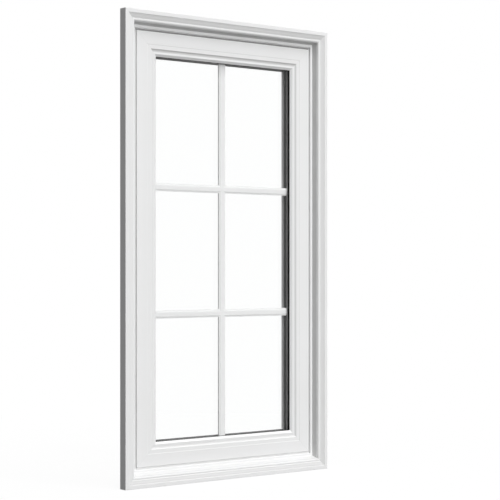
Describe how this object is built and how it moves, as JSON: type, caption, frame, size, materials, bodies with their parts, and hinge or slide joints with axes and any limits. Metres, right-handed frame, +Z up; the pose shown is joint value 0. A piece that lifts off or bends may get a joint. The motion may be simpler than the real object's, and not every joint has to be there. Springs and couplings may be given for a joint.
{
  "type": "picture window",
  "caption": "Fixed white PVC picture window with a colonial brickmould, a coved sash, double glazing and a contoured grille between the panes.",
  "frame": {"origin": "mid-width, where the back plane of the brickmould's flange meets the underside of the frame", "axes": "+X to the right as seen from outside, +Y into the building, +Z up"},
  "size_m": [0.61, 0.071, 1.112],
  "materials": {
    "white_pvc": "satin",
    "clear_glass": "polished",
    "spacer_metal": "satin",
    "black_rubber": "matte",
    "glazing_tape": "matte",
    "coated_grille": "satin",
    "block_plastic": "matte"
  },
  "bodies": {
    "root": {"brickmould_bottom": "white_pvc", "brickmould_left": "white_pvc", "brickmould_top": "white_pvc", "brickmould_right": "white_pvc", "frame_sill": "white_pvc", "frame_left_jamb": "white_pvc", "frame_head": "white_pvc", "frame_right_jamb": "white_pvc", "sash_bottom_rail": "white_pvc", "sash_left_stile": "white_pvc", "sash_top_rail": "white_pvc", "sash_right_stile": "white_pvc", "glazing_bead_bottom": "white_pvc", "glazing_bead_left": "white_pvc", "glazing_bead_top": "white_pvc", "glazing_bead_right": "white_pvc", "exterior_pane": "clear_glass", "interior_pane": "clear_glass", "spacer_bottom": "spacer_metal", "spacer_left": "spacer_metal", "spacer_top": "spacer_metal", "spacer_right": "spacer_metal", "exterior_gasket_bottom": "black_rubber", "exterior_gasket_left": "black_rubber", "exterior_gasket_top": "black_rubber", "exterior_gasket_right": "black_rubber", "weatherstrip_bottom": "black_rubber", "weatherstrip_left": "black_rubber", "weatherstrip_top": "black_rubber", "weatherstrip_right": "black_rubber", "interior_gasket_bottom": "glazing_tape", "interior_gasket_left": "glazing_tape", "interior_gasket_top": "glazing_tape", "interior_gasket_right": "glazing_tape", "grille_upright_bar": "coated_grille", "grille_upper_left_bar": "coated_grille", "grille_upper_right_bar": "coated_grille", "grille_lower_left_bar": "coated_grille", "grille_lower_right_bar": "coated_grille", "glass_setting_blocks": "block_plastic", "sash_setting_blocks": "block_plastic"}
  },
  "joints": []
}
